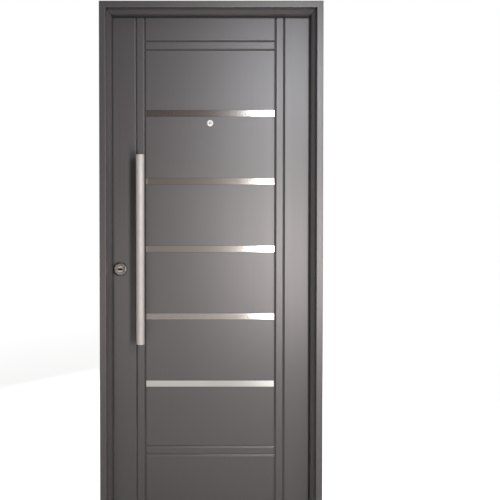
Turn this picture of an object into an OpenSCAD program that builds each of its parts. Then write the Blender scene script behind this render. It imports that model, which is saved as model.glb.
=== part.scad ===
// Steel front door: a pressed-sheet leaf with five inlaid strips and a pull bar,
// hung in a stepped sheet-steel frame with a sill.
// +X to the right as seen from outside, +Y into the house, +Z up.
// The origin is the centre of the sill's underside.

/* [Frame] */
// Overall width of the frame
frame_w = 860; // [700:10:1300]
// Overall height of the frame, from the floor
frame_h = 2050; // [1900:10:2500]
// Depth of the frame, front to back
frame_d = 125; // [115:1:180]
// Thickness of the frame's sheet
frame_t = 1.5; // [1:0.1:2]
// Width of the face seen from outside
face_w = 25; // [20:1:26]
// Depth from the face to the sloping step
step_d = 30; // [20:1:45]
// Depth over which the step slopes inwards
step_run = 20; // [5:1:35]
// Width of the sloping step
step_w = 13; // [6:1:14]
// How far the rebate for the leaf lies from the frame's outside
rebate_in = 16; // [14:1:19]
// Depth of the flanges that lie against the wall
flange_d = 30; // [22:1:36]
// Bend radius on the visible side of the sheet
bend_r = 2.5; // [2.5:0.1:4]

/* [Leaf] */
// Thickness of the leaf
leaf_t = 45; // [40:1:60]
// Thickness of the leaf's two steel skins
skin_t = 0.9; // [0.6:0.1:1.2]
// Width of the timber rails inside the leaf
rail_w = 38; // [30:1:60]
// Gap between the leaf and the rebate on the hinge side
gap_hinge = 5; // [4:0.5:6]
// Gap between the leaf and the rebate on the lock side
gap_lock = 7; // [6:0.5:8]
// Gap above the leaf
gap_top = 5; // [4:0.5:8]
// Height of the leaf's underside above the floor
leaf_z = 12; // [10:1:18]
// Gap between the leaf's outer face and the frame's stop
seal_gap = 5; // [4:0.5:8]

/* [Pressed pattern] */
// Distance from the leaf's lock edge to the first upright groove
stile_lock = 109; // [90:1:160]
// Distance from the leaf's hinge edge to the last upright groove
stile_hinge = 120; // [90:1:160]
// Spacing of the two grooves of a pair
pair_pitch = 34; // [26:1:60]
// Width of a groove
groove_w = 10; // [6:1:14]
// Depth of a groove
groove_depth = 4; // [2:0.5:6]
// Height of the lower pair of level grooves above the floor
pair_low_z = 282.5; // [200:0.5:320]
// Distance of the upper pair of level grooves below the leaf's top
pair_top_in = 129.5; // [90:0.5:200]
// Height of a strip
strip_h = 25; // [15:1:60]
// Thickness of a strip
strip_t = 1.2; // [0.8:0.1:2]

/* [Pull bar] */
// Diameter of the tube
bar_dia = 32; // [25:1:45]
// Wall of the tube
bar_wall = 1.5; // [1:0.1:3]
// Length of the tube
bar_len = 740; // [500:10:1200]
// Height of the bar's centre above the floor
bar_z = 1094; // [1000:1:1200]
// Distance from the leaf's face to the tube's centreline
bar_off = 50; // [45:1:80]
// How far the bar lies off the middle of the lock-side grooves, towards the hinges
bar_shift = 4; // [0:0.5:4]
// Diameter of the two posts
post_dia = 16; // [12:1:18]
// Distance between the two posts
post_pitch = 460; // [300:10:480]

/* [Lock] */
// Height of the key's centre above the floor
key_z = 1011; // [950:1:1050]
// Distance from the leaf's edge to the key's centre
backset = 45; // [43:1:50]
// Diameter of the round plate round the key
rose_dia = 52; // [46:1:56]
// Thickness of that plate
rose_t = 8; // [5:1:12]
// Diameter of the key barrel
barrel_dia = 26; // [22:1:30]
// Height of the inside lever above the key
lever_up = 85; // [72:1:92]
// Length of the inside lever
lever_len = 125; // [100:1:140]

/* [Peephole] */
// Height of the peephole above the floor
peep_z = 1591; // [1400:1:1600]
// Diameter of its rim
peep_dia = 26; // [20:1:34]
// Diameter of its tube
peep_tube = 14; // [12:1:16]

/* [Hinges] */
// Height of one hinge, both halves
hinge_h = 100; // [80:5:140]
// Outside diameter of the knuckles
knuckle_dia = 14; // [12:1:16]
// Diameter of the pin
pin_dia = 8; // [6:1:9]
// Height of the lowest hinge's centre
hinge_low_z = 250; // [200:10:320]
// Distance of the highest hinge's centre below the frame's top
hinge_top_in = 250; // [200:10:320]

/* [Hidden] */
$fn = 64;

steel = [0.36, 0.36, 0.38];
stainless = [0.78, 0.76, 0.74];
rubber = [0.06, 0.06, 0.07];
timber = [0.62, 0.48, 0.32];
foam = [0.93, 0.90, 0.78];

fit_gap = 0.3;
cut = 1;
front_y = -frame_d / 2;
back_y = frame_d / 2;
stop_in = face_w + step_w;
leaf_y = back_y - leaf_t;
stop_y = leaf_y - seal_gap;
stop_d = stop_y - front_y;

leaf_x0 = -frame_w / 2 + rebate_in + gap_lock;
leaf_x1 = frame_w / 2 - rebate_in - gap_hinge;
leaf_z1 = frame_h - rebate_in - gap_top;
leaf_w = leaf_x1 - leaf_x0;
leaf_h = leaf_z1 - leaf_z;

// Section of the frame in (distance in from the outside, depth from the front), on the visible side
frame_path = [
    [0, flange_d], [0, 0], [face_w, 0], [face_w, step_d], [stop_in, step_d + step_run],
    [stop_in, stop_d], [rebate_in, stop_d], [rebate_in, frame_d], [0, frame_d], [0, frame_d - flange_d]
];
bend_steps = 4;

// Unit vector from a to b
function unit(a, b) = (b - a) / norm(b - a);
// Normal to the left of a direction
function left(d) = [-d[1], d[0]];
// Points of an arc that rounds the corner b between a and c
function bend(a, b, c, r) =
    let (p = unit(b, a), q = unit(b, c), half = acos(p * q) / 2, reach = r / tan(half),
         centre = b + (p + q) / norm(p + q) * r / sin(half),
         from = b + p * reach - centre, to = b + q * reach - centre)
    [for (i = [0:bend_steps])
        let (k = i / bend_steps, m = from * (1 - k) + to * k)
        centre + m / norm(m) * r];
// The path with every inner corner rounded
function rounded(path, r) = concat(
    [path[0]],
    [for (i = [1:len(path) - 2]) each bend(path[i - 1], path[i], path[i + 1], r)],
    [path[len(path) - 1]]
);
// The path moved to its left by t
function beside(path, t) = [
    for (i = [0:len(path) - 1])
        let (n0 = i == 0 ? left(unit(path[0], path[1])) : left(unit(path[i - 1], path[i])),
             n1 = i == len(path) - 1 ? n0 : left(unit(path[i], path[i + 1])))
        path[i] + (n0 + n1) * t / (1 + n0 * n1)
];
function reversed(list) = [for (i = [len(list) - 1:-1:0]) list[i]];
// Outline of a bent sheet of thickness t
function sheet(path, r, t) = let (p = rounded(path, r)) concat(p, reversed(beside(p, t)));

// ---- frame ----

module frame_section() {
    polygon(sheet(frame_path, bend_r, frame_t));
}

// One jamb on the -X side, from the floor to the top of the frame
module jamb_blank() {
    translate([-frame_w / 2, front_y, 0])
        linear_extrude(frame_h)
            frame_section();
}

// Everything above the mitre of the -X corner
module above_mitre() {
    reach = frame_w;
    translate([-frame_w / 2, frame_d, frame_h])
        rotate([90, 0, 0])
            linear_extrude(2 * frame_d)
                polygon([[0, 0], [reach, -reach], [reach, reach], [-reach, reach]]);
}

// Wall screw holes, through the rebate and the flange behind it
wall_hole_dia = 10;
wall_hole_y = back_y - flange_d / 2;
wall_hole_low = 305;
wall_hole_count = 4;
wall_hole_pitch = (frame_h - 2 * wall_hole_low) / (wall_hole_count - 1);

module wall_holes() {
    for (i = [0:wall_hole_count - 1])
        translate([-frame_w / 2 - cut, wall_hole_y, wall_hole_low + i * wall_hole_pitch])
            rotate([0, 90, 0])
                cylinder(d = wall_hole_dia, h = rebate_in + 2 * cut);
}

module frame_jamb_hinge() {
    color(steel)
        mirror([1, 0, 0])
            difference() {
                jamb_blank();
                above_mitre();
                wall_holes();
            }
}

module frame_jamb_lock() {
    color(steel)
        difference() {
            jamb_blank();
            above_mitre();
            wall_holes();
            strike_holes(jamb_hole_gap);
        }
}

module frame_head() {
    color(steel)
        intersection() {
            translate([-frame_w / 2, front_y, frame_h])
                rotate([0, 90, 0])
                    linear_extrude(frame_w)
                        frame_section();
            above_mitre();
            mirror([1, 0, 0])
                above_mitre();
        }
}

// Plan of the space between the jambs, following their bent steps at a clearance
module between_jambs(gap) {
    run_out = 2 * frame_d;
    reveal = rounded([
        [face_w, -run_out], [face_w, step_d], [stop_in, step_d + step_run],
        [stop_in, stop_d], [rebate_in, stop_d], [rebate_in, run_out]
    ], bend_r);
    edge = beside(reveal, -gap);
    translate([0, front_y])
        polygon(concat(
            [for (p = edge) [frame_w / 2 - p[0], p[1]]],
            reversed([for (p = edge) [p[0] - frame_w / 2, p[1]]])
        ));
}

sill_h = 25;
sill_fall = 3;
sill_lip = 4;
sill_back_h = 4;
sill_nose = 6;
sill_solid = 20;
sill_wall = 2.5;
sill_hole_dia = 6;
sill_hole_pitch = 450;
sill_hole_y = (stop_y + back_y) / 2;
rib_w = 2;
rib_h = 0.8;
rib_count = 5;

// Section of the sill in (depth from the front, height), with ribs across the ramp
module sill_section() {
    foot = [sill_nose, sill_lip];
    crest = [step_d + 0.6 * step_run, sill_h - sill_fall];
    ramp = crest - foot;
    fall = ramp[1] / ramp[0];
    difference() {
        union() {
            polygon([
                [sill_nose, 0], [frame_d, 0], [frame_d, sill_back_h],
                [stop_d, sill_back_h], [stop_d, sill_h], crest, foot
            ]);
            for (i = [1:rib_count])
                translate(foot + ramp * i / (rib_count + 1))
                    rotate(atan(fall))
                        translate([-rib_w / 2, -rib_h])
                            square([rib_w, 2 * rib_h]);
        }
        polygon([
            [sill_solid, sill_wall], [crest[0] - sill_wall, sill_wall],
            [crest[0] - sill_wall, crest[1] - fall * sill_wall - 1.2 * sill_wall],
            [sill_solid, sill_lip + fall * (sill_solid - sill_nose) - 1.2 * sill_wall]
        ]);
        polygon([
            [crest[0], sill_wall], [stop_d - sill_wall, sill_wall],
            [stop_d - sill_wall, sill_h - 1.2 * sill_wall], [crest[0], crest[1] - 1.2 * sill_wall]
        ]);
    }
}

module sill() {
    color(stainless)
        difference() {
            intersection() {
                translate([-frame_w / 2, front_y, 0])
                    rotate([90, 0, 90])
                        linear_extrude(frame_w)
                            sill_section();
                linear_extrude(sill_h + cut)
                    between_jambs(fit_gap);
            }
            for (s = [-1, 1])
                translate([s * sill_hole_pitch / 2, sill_hole_y, -cut])
                    cylinder(d = sill_hole_dia, h = sill_back_h + 2 * cut);
        }
}

// ---- seals on the back of the stop ----

seal_w = 10;
lip_w = 14;
seal_proud = 1;
seal_in = stop_in + seal_proud - seal_w;
seal_foot = 3;
seal_r = 1.6;
seal_t = seal_gap - fit_gap;

// D section in (distance in from the outside, depth from the stop), with rounded free corners;
// on the hinge side and the head, clear of the key's plate, a wider lip shows past the stop
module seal_section(w) {
    in_r = seal_in + seal_r;
    out_r = seal_in + w - seal_r;
    polygon(concat(
        [[seal_in, 0], [seal_in + seal_w - seal_foot, 0]],
        [for (a = [-60:30:90]) [out_r + seal_r * cos(a), seal_t - seal_r + seal_r * sin(a)]],
        [for (a = [90:30:180]) [in_r + seal_r * cos(a), seal_t - seal_r + seal_r * sin(a)]]
    ));
}

module seal_upright(w) {
    translate([-frame_w / 2, stop_y, sill_h])
        linear_extrude(frame_h - seal_in - lip_w - fit_gap - sill_h)
            seal_section(w);
}

module seal_lock() {
    color(rubber)
        seal_upright(seal_w);
}

module seal_hinge() {
    color(rubber)
        mirror([1, 0, 0])
            seal_upright(lip_w);
}

module seal_head() {
    color(rubber)
        translate([-frame_w / 2 + seal_in, stop_y, frame_h])
            rotate([0, 90, 0])
                linear_extrude(frame_w - 2 * seal_in)
                    seal_section(lip_w);
}

// The same section upside down, its thin edge 1 mm below the sill's top
module seal_sill() {
    run = frame_w - 2 * (seal_in + fit_gap) - seal_w - lip_w;
    color(rubber)
        translate([frame_w / 2 - seal_in - lip_w - fit_gap, stop_y, sill_h - 1 + seal_in])
            rotate([0, 90, 180])
                mirror([0, 1])
                    linear_extrude(run)
                        seal_section(seal_w);
}

// ---- leaf ----

groove_xs = [
    leaf_x0 + stile_lock, leaf_x0 + stile_lock + pair_pitch,
    leaf_x1 - stile_hinge - pair_pitch, leaf_x1 - stile_hinge
];
panel_x = (groove_xs[1] + groove_xs[2]) / 2;
panel_w = groove_xs[2] - groove_xs[1];
strip_count = 5;
pair_zs = [leaf_z1 - pair_top_in, pair_low_z];
strip_pitch = (pair_zs[0] - pair_zs[1]) / (strip_count + 1);
strip_z0 = pair_zs[0] - strip_pitch;
groove_zs = [for (z = pair_zs, s = [-1, 1]) z + s * pair_pitch / 2];
groove_end = 8;
strip_sunk = 0.2;
recess_d = strip_t + strip_sunk;
mid_y = leaf_y + leaf_t / 2;

// Rounded groove, drawn as a cosine wave from y = 0 down to depth d
function groove_points(w, d) = concat(
    [[-w / 2, -cut]],
    [for (i = [-4:4]) let (x = i / 8 * w) [x, d * (1 + cos(360 * x / w)) / 2]],
    [[w / 2, -cut]]
);

// All grooves of one face, which lies at y = 0 with the leaf behind it at +y
module grooves(w, d) {
    for (x = groove_xs)
        translate([x, 0, leaf_z + groove_end])
            linear_extrude(leaf_h - 2 * groove_end)
                polygon(groove_points(w, d));
    for (z = groove_zs)
        translate([panel_x - panel_w / 2, 0, z])
            rotate([90, 0, 90])
                linear_extrude(panel_w)
                    rotate(90)
                        mirror([0, 1])
                            polygon(groove_points(w, d));
}

// Square channels that clear the backs of the grooves
module groove_room() {
    w = groove_w + 4 * skin_t;
    d = groove_depth + skin_t + fit_gap;
    for (x = groove_xs)
        translate([x - w / 2, -cut, leaf_z])
            cube([w, d + cut, leaf_h]);
    for (z = groove_zs)
        translate([panel_x - panel_w / 2, -cut, z - w / 2])
            cube([panel_w, d + cut, w]);
}

// Boxes where the strips lie, grown by g all round
module strip_room(d, g) {
    for (i = [0:strip_count - 1])
        translate([panel_x - panel_w / 2, -cut, strip_z0 - i * strip_pitch - strip_h / 2 - g])
            cube([panel_w, d + cut, strip_h + 2 * g]);
}

// Round holes through the leaf: key, peephole and the bar's bolts; the lever's stops half way
module leaf_holes(gap) {
    for (h = [
        [key_x, key_z, core_dia, leaf_t], [key_x, key_z + lever_up, spindle_dia, leaf_t / 2],
        [panel_x, peep_z, peep_tube, leaf_t],
        [bar_x, bar_z - post_pitch / 2, post_bolt, leaf_t],
        [bar_x, bar_z + post_pitch / 2, post_bolt, leaf_t]
    ])
        translate([h[0], back_y + cut, h[1]])
            rotate([90, 0, 0])
                cylinder(d = h[2] + 2 * gap, h = h[3] + 2 * cut);
}

// A tray with its face at y = 0 and its flanges running to +y
module tray() {
    difference() {
        translate([leaf_x0, 0, leaf_z])
            cube([leaf_w, skin_flange, leaf_h]);
        translate([leaf_x0 + skin_t, skin_t, leaf_z + skin_t])
            cube([leaf_w - 2 * skin_t, skin_flange, leaf_h - 2 * skin_t]);
    }
}

module pressed_skin(with_strips) {
    difference() {
        union() {
            tray();
            intersection() {
                grooves(groove_w + 2 * skin_t, groove_depth + skin_t);
                translate([leaf_x0, 0, leaf_z])
                    cube([leaf_w, leaf_t, leaf_h]);
            }
            if (with_strips)
                intersection() {
                    strip_room(recess_d + skin_t, fit_gap + skin_t);
                    translate([leaf_x0, 0, leaf_z])
                        cube([leaf_w, leaf_t, leaf_h]);
                }
        }
        grooves(groove_w, groove_depth);
        if (with_strips)
            strip_room(recess_d, fit_gap);
    }
}

module skin_outer() {
    color(steel)
        difference() {
            translate([0, leaf_y, 0])
                pressed_skin(true);
            leaf_holes(fit_gap);
        }
}

module skin_inner() {
    color(steel)
        difference() {
            translate([0, back_y, 0])
                mirror([0, 1, 0])
                    pressed_skin(false);
            leaf_holes(fit_gap);
        }
}

// What the rails and the core leave free behind both skins
module skin_room() {
    translate([0, leaf_y, 0]) {
        groove_room();
        strip_room(recess_d + skin_t + fit_gap, 2 * fit_gap + skin_t);
    }
    translate([0, back_y, 0])
        mirror([0, 1, 0])
            groove_room();
}

// Block between the skins, from (x0, z0) to (x1, z1)
module between_skins(x0, z0, x1, z1) {
    translate([x0, leaf_y + skin_t, z0])
        cube([x1 - x0, leaf_t - 2 * skin_t, z1 - z0]);
}

in_x0 = leaf_x0 + skin_t;
in_x1 = leaf_x1 - skin_t;
in_z0 = leaf_z + skin_t;
in_z1 = leaf_z1 - skin_t;

module rail_lock() {
    color(timber)
        difference() {
            between_skins(in_x0, in_z0, in_x0 + rail_w, in_z1);
            lock_pocket();
            leaf_holes(fit_gap);
        }
}

module rail_hinge() {
    color(timber)
        between_skins(in_x1 - rail_w, in_z0, in_x1, in_z1);
}

module rail_top() {
    color(timber)
        difference() {
            between_skins(in_x0 + rail_w, in_z1 - rail_w, in_x1 - rail_w, in_z1);
            skin_room();
        }
}

module rail_bottom() {
    color(timber)
        difference() {
            between_skins(in_x0 + rail_w, in_z0, in_x1 - rail_w, in_z0 + rail_w);
            skin_room();
        }
}

module core() {
    color(foam)
        difference() {
            between_skins(in_x0 + rail_w, in_z0 + rail_w, in_x1 - rail_w, in_z1 - rail_w);
            skin_room();
            lock_pocket();
            leaf_holes(fit_gap);
        }
}

// Inlaid strip number i, counted from the top, with chamfered long edges
module strip(i) {
    len_x = panel_w - groove_w;
    c = strip_t / 3;
    z = strip_z0 - i * strip_pitch - strip_h / 2;
    color(stainless)
        translate([panel_x - len_x / 2, leaf_y + strip_sunk, z])
            rotate([90, 0, 90])
                linear_extrude(len_x)
                    polygon([
                        [0, c], [c, 0], [strip_t, 0], [strip_t, strip_h], [c, strip_h], [0, strip_h - c]
                    ]);
}

// ---- pull bar ----

bar_x = (groove_xs[0] + groove_xs[1]) / 2 + bar_shift;
bar_y = leaf_y - bar_off;
post_bolt = 8;
cap_t = 3;
cap_edge = 0.8;
spigot_t = 2;
spigot_len = 12;
nut_dia = 20;
nut_t = 6;
nut_edge = 1.5;
thread_gap = 0.1;

module pull_tube() {
    color(stainless)
        translate([bar_x, bar_y, bar_z - bar_len / 2 + cap_t])
            difference() {
                cylinder(d = bar_dia, h = bar_len - 2 * cap_t);
                translate([0, 0, -cut])
                    cylinder(d = bar_dia - 2 * bar_wall, h = bar_len);
                for (s = [-1, 1])
                    translate([0, 0, bar_len / 2 - cap_t + s * post_pitch / 2])
                        rotate([-90, 0, 0])
                            cylinder(d = post_dia, h = bar_dia);
            }
}

// Flat end caps with a spigot inside the tube
module pull_caps() {
    r = bar_dia / 2;
    bore_r = r - bar_wall;
    color(stainless)
        for (s = [-1, 1])
            translate([bar_x, bar_y, bar_z + s * bar_len / 2])
                rotate([s > 0 ? 180 : 0, 0, 0])
                    rotate_extrude()
                        polygon([
                            [0, 0], [r - cap_edge, 0], [r, cap_edge], [r, cap_t],
                            [bore_r, cap_t], [bore_r, cap_t + spigot_len],
                            [bore_r - spigot_t, cap_t + spigot_len], [bore_r - spigot_t, cap_t], [0, cap_t]
                        ]);
}

// Posts from inside the tube to the leaf's face, with their bolts through the leaf
module pull_posts() {
    post_len = bar_off - bar_dia / 2 + bar_wall;
    bolt_end = leaf_t + nut_t - 2;
    color(stainless)
        for (s = [-1, 1])
            translate([bar_x, leaf_y, bar_z + s * post_pitch / 2])
                rotate([90, 0, 0]) {
                    cylinder(d = post_dia, h = post_len);
                    translate([0, 0, -bolt_end])
                        cylinder(d = post_bolt, h = bolt_end + cut);
                }
}

// Cap nuts on the inner face
module pull_nuts() {
    color(stainless)
        for (s = [-1, 1])
            translate([bar_x, back_y, bar_z + s * post_pitch / 2])
                rotate([-90, 0, 0])
                    difference() {
                        rotate_extrude()
                            polygon([
                                [0, 0], [nut_dia / 2, 0], [nut_dia / 2, nut_t - nut_edge],
                                [nut_dia / 2 - nut_edge, nut_t], [0, nut_t]
                            ]);
                        translate([0, 0, -cut])
                            cylinder(d = post_bolt + thread_gap, h = nut_t - nut_edge + cut);
                    }
}

// ---- lock ----

key_x = leaf_x0 + backset;
case_t = 16;
case_w = 78;
case_low = 82;
case_top = 30;
case_z = key_z - case_low;
case_h = case_low + lever_up + case_top;
case_mid_z = case_z + case_h / 2;
plate_t = 3;
plate_w = 20;
plate_h = case_h + 44;
flange_gap = 0.5;
// The skins' flanges on the leaf's edges reach up to the lock's faceplate
skin_flange = (leaf_t - plate_w) / 2 - flange_gap;
core_dia = 22;
spindle_dia = 9;
bolt_dia = 13;
bolt_len = 40;
bolt_pitch = 22;
bolt_top_z = key_z - core_dia / 2 - bolt_dia / 2 - 2;
bolt_zs = [for (i = [0:2]) bolt_top_z - i * bolt_pitch];
latch_h = 22;
latch_z = key_z + lever_up - latch_h / 2;
latch_bevel = 7;
latch_nose = 2;
screw_dia = 5;
screw_head = 10;

// Countersunk hole through a plate of thickness t, its head at z = 0 and its shank to -z
module screw_hole(t) {
    translate([0, 0, -t - cut])
        cylinder(d = screw_dia, h = t + 2 * cut);
    translate([0, 0, -(screw_head - screw_dia) / 2])
        cylinder(d1 = screw_dia, d2 = screw_head, h = (screw_head - screw_dia) / 2);
    cylinder(d = screw_head, h = cut);
}

// Long plate with round ends, its outer side at the leaf's edge, grown by g
module plate_shape(g, t) {
    run = plate_h - plate_w;
    translate([leaf_x0, mid_y, case_mid_z])
        rotate([0, 90, 0]) {
            for (s = [-1, 1])
                translate([s * run / 2, 0, 0])
                    cylinder(d = plate_w + 2 * g, h = t);
            translate([-run / 2, -plate_w / 2 - g, 0])
                cube([run, plate_w + 2 * g, t]);
        }
}

// Room for the faceplate and the case in the rail and the core
module lock_pocket() {
    translate([-cut, 0, 0])
        plate_shape(fit_gap, plate_t + cut);
    translate([leaf_x0 + plate_t - cut, mid_y - case_t / 2 - fit_gap, case_z - fit_gap])
        cube([case_w + cut + fit_gap, case_t + 2 * fit_gap, case_h + 2 * fit_gap]);
}

// Bolts and latch, drawn back so that their ends are flush with the faceplate, grown by g
module bolt_shapes(g) {
    for (z = bolt_zs)
        translate([leaf_x0, mid_y, z])
            rotate([0, 90, 0])
                cylinder(d = bolt_dia + 2 * g, h = bolt_len + g);
    translate([leaf_x0, mid_y - bolt_dia / 2 - g, latch_z - g])
        cube([bolt_len / 2 + g, bolt_dia + 2 * g, latch_h + 2 * g]);
}

// The latch's outer side is bevelled so that it slides over the jamb's edge
module lock_bolts() {
    color(stainless)
        difference() {
            bolt_shapes(0);
            translate([leaf_x0, mid_y - bolt_dia / 2, latch_z - cut])
                linear_extrude(latch_h + 2 * cut)
                    polygon([
                        [-cut, -cut], [latch_bevel, -cut], [latch_bevel, 0],
                        [0, bolt_dia - latch_nose], [-cut, bolt_dia - latch_nose]
                    ]);
        }
}

module lock_case() {
    color(steel)
        difference() {
            translate([leaf_x0 + plate_t, mid_y - case_t / 2, case_z])
                cube([case_w, case_t, case_h]);
            bolt_shapes(fit_gap);
            leaf_holes(fit_gap);
        }
}

module lock_faceplate() {
    color(stainless)
        difference() {
            plate_shape(0, plate_t);
            translate([-cut, 0, 0])
                bolt_shapes(fit_gap);
            for (s = [-1, 1])
                translate([leaf_x0, mid_y, case_mid_z + s * (plate_h - plate_w) / 2])
                    rotate([0, -90, 0])
                        screw_hole(plate_t);
        }
}

jamb_hole_gap = 1.5;
strike_hole_gap = 0.5;
strike_t = 3;
strike_w = 30;

// Holes opposite the bolts and the latch, through the jamb's rebate and the strike, larger by g all round
module strike_holes(g) {
    hole = bolt_dia + 2 * g;
    depth = frame_t + strike_t + 2 * cut;
    for (z = bolt_zs)
        translate([-frame_w / 2 + rebate_in + cut - depth, mid_y, z])
            rotate([0, 90, 0])
                cylinder(d = hole, h = depth);
    translate([-frame_w / 2 + rebate_in + cut - depth, mid_y - hole / 2, latch_z - 2 * g])
        cube([depth, hole, latch_h + 4 * g]);
}

// Adjustable strike behind the jamb's sheet
module strike() {
    color(stainless)
        difference() {
            translate([-frame_w / 2 + rebate_in - frame_t - strike_t, mid_y - strike_w / 2, case_z])
                cube([strike_t, strike_w, case_h]);
            strike_holes(strike_hole_gap);
        }
}

rose_bevel = 5;
rose_dish = 1.5;

// Round plate with a bevelled rim and a dished bore, standing off y = 0 to -y
module rose(bore) {
    r = rose_dia / 2;
    rotate([90, 0, 0])
        rotate_extrude()
            polygon([
                [bore / 2, 0], [r, 0], [r, rose_t - 0.6 * rose_bevel],
                [r - rose_bevel / 2, rose_t - 0.12 * rose_bevel], [r - rose_bevel, rose_t],
                [bore / 2 + rose_dish, rose_t], [bore / 2, rose_t - rose_dish]
            ]);
}

module key_rose_outer() {
    color(stainless)
        translate([key_x, leaf_y, key_z])
            rose(barrel_dia + 2 * fit_gap);
}

module key_rose_inner() {
    color(stainless)
        for (z = [key_z, key_z + lever_up])
            translate([key_x, back_y, z])
                mirror([0, 1, 0])
                    rose(z == key_z ? barrel_dia + 2 * fit_gap : lever_neck + 2 * fit_gap);
}

slot_h = 4;
slot_run = 14;
slot_d = 16;

// Key barrel through the leaf, with a head at each end and a level key slot
module key_barrel() {
    head = rose_t - rose_dish;
    color(stainless)
        translate([key_x, leaf_y, key_z])
            difference() {
                union() {
                    rotate([90, 0, 0])
                        cylinder(d = barrel_dia, h = head);
                    translate([0, leaf_t, 0])
                        rotate([-90, 0, 0])
                            cylinder(d = barrel_dia, h = head);
                    translate([0, leaf_t + head / 2, 0])
                        rotate([90, 0, 0])
                            cylinder(d = core_dia, h = leaf_t + head);
                }
                for (y = [-head - cut, leaf_t + head + cut - slot_d]) {
                    translate([-slot_run / 2, y, -slot_h / 2])
                        cube([slot_run, slot_d, slot_h]);
                    for (s = [-1, 1])
                        translate([s * slot_run / 2, y + slot_d, 0])
                            rotate([90, 0, 0])
                                cylinder(d = slot_h, h = slot_d);
                }
            }
}

lever_neck = 18;
lever_out = 48;
lever_dia = 19;

// Inside lever: spindle, neck and a level grip that points to the hinges
module lever() {
    color(stainless)
        translate([key_x, back_y, key_z + lever_up]) {
            rotate([-90, 0, 0])
                cylinder(d = lever_neck, h = lever_out);
            translate([0, -leaf_t / 2, 0])
                rotate([-90, 0, 0])
                    cylinder(d = spindle_dia - 2 * fit_gap, h = leaf_t / 2 + cut);
            translate([0, lever_out, 0])
                sphere(d = lever_dia);
            translate([0, lever_out, 0])
                rotate([0, 90, 0])
                    cylinder(d = lever_dia, h = lever_len - lever_dia / 2);
            translate([lever_len - lever_dia / 2, lever_out, 0])
                sphere(d = lever_dia);
        }
}

// ---- peephole ----

lens_dia = 10;
lens_len = 6;
lens_bulge = 1.6;
rim_t = 2.5;
rim_edge = 0.8;
rim_bevel = 2;
tube_short = 4;

// Outer rim with the tube that runs through the leaf
module peephole() {
    color(stainless)
        translate([panel_x, leaf_y, peep_z])
            rotate([90, 0, 0])
                rotate_extrude()
                    polygon([
                        [lens_dia / 2, tube_short - leaf_t], [peep_tube / 2, tube_short - leaf_t],
                        [peep_tube / 2, 0], [peep_dia / 2, 0],
                        [peep_dia / 2, rim_edge], [peep_dia / 2 - rim_bevel, rim_t],
                        [lens_dia / 2 + rim_edge, rim_t], [lens_dia / 2, rim_edge]
                    ]);
}

module peephole_lens() {
    color([0.2, 0.25, 0.3])
        translate([panel_x, leaf_y, peep_z])
            rotate([90, 0, 0])
                rotate_extrude()
                    polygon(concat(
                        [[0, -lens_len], [lens_dia / 2, -lens_len]],
                        [for (a = [0:15:90]) [lens_dia / 2 * cos(a), lens_bulge * sin(a)]]
                    ));
}

module peephole_inner() {
    color(stainless)
        translate([panel_x, back_y, peep_z])
            rotate([-90, 0, 0])
                rotate_extrude()
                    polygon([
                        [lens_dia / 2, fit_gap - tube_short],
                        [peep_tube / 2 - rim_edge, fit_gap - tube_short],
                        [peep_tube / 2, 0], [peep_dia / 2, 0],
                        [peep_dia / 2, rim_edge], [peep_dia / 2 - rim_bevel, rim_t],
                        [lens_dia / 2 + rim_edge, rim_t], [lens_dia / 2, rim_edge]
                    ]);
}

// ---- hinges ----

hinge_off = knuckle_dia / 2 + 3;
hinge_x = frame_w / 2 - rebate_in - gap_hinge / 2;
hinge_y = back_y + hinge_off;
hinge_plate_t = 3;
hinge_plate_w = 46;
hinge_slope = 5;
hinge_corner = 8;
hinge_screws = [[20, 0.2], [20, 0.8], [34, 0.5]];
hinge_gap = 0.5;
hinge_half = (hinge_h - hinge_gap) / 2;
hinge_roof = 6;
pin_gap = 0.05;
pin_short = 2;
hinge_zs = [hinge_low_z, (hinge_low_z + frame_h - hinge_top_in) / 2, frame_h - hinge_top_in];

// Knuckle with its plate to +x, the plate's underside lying on y = -hinge_off
module hinge_section(plate_w) {
    circle(d = knuckle_dia);
    polygon([
        [0, -hinge_off], [plate_w, -hinge_off], [plate_w, -hinge_off + hinge_plate_t],
        [knuckle_dia / 2 + hinge_slope, -hinge_off + hinge_plate_t], [knuckle_dia / 2, 0], [0, 0]
    ]);
}

// Lower half on the frame, with the pin standing up
module hinge_frame(i) {
    color(stainless)
        translate([hinge_x, hinge_y, hinge_zs[i] - hinge_h / 2]) {
            linear_extrude(hinge_half)
                hinge_section(frame_w / 2 - hinge_x);
            cylinder(d = pin_dia, h = hinge_h - hinge_roof - pin_short);
        }
}

// What is cut off a plate to round its corner, which points to -x and to -z or +z
module corner_off(side) {
    difference() {
        translate([-hinge_corner - cut, 0, side < 0 ? -hinge_corner - cut : 0])
            cube([hinge_corner + cut, hinge_plate_t + 2 * cut, hinge_corner + cut]);
        translate([0, -cut, 0])
            rotate([-90, 0, 0])
                cylinder(r = hinge_corner, h = hinge_plate_t + 4 * cut);
    }
}

// Upper half on the leaf, closed at the top, with a screwed plate
module hinge_leaf(i) {
    color(stainless)
        translate([hinge_x, hinge_y, hinge_zs[i] + hinge_gap / 2])
            difference() {
                linear_extrude(hinge_half)
                    mirror([1, 0])
                        hinge_section(hinge_plate_w);
                translate([0, 0, -cut])
                    cylinder(d = pin_dia + 2 * pin_gap, h = hinge_half - hinge_roof + cut);
                for (side = [-1, 1])
                    translate([
                        hinge_corner - hinge_plate_w, -hinge_off - cut,
                        side < 0 ? hinge_corner : hinge_half - hinge_corner
                    ])
                        corner_off(side);
                for (q = hinge_screws)
                    translate([-q[0], -hinge_off + hinge_plate_t, q[1] * hinge_half])
                        rotate([-90, 0, 0])
                            screw_hole(hinge_plate_t);
            }
}

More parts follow.
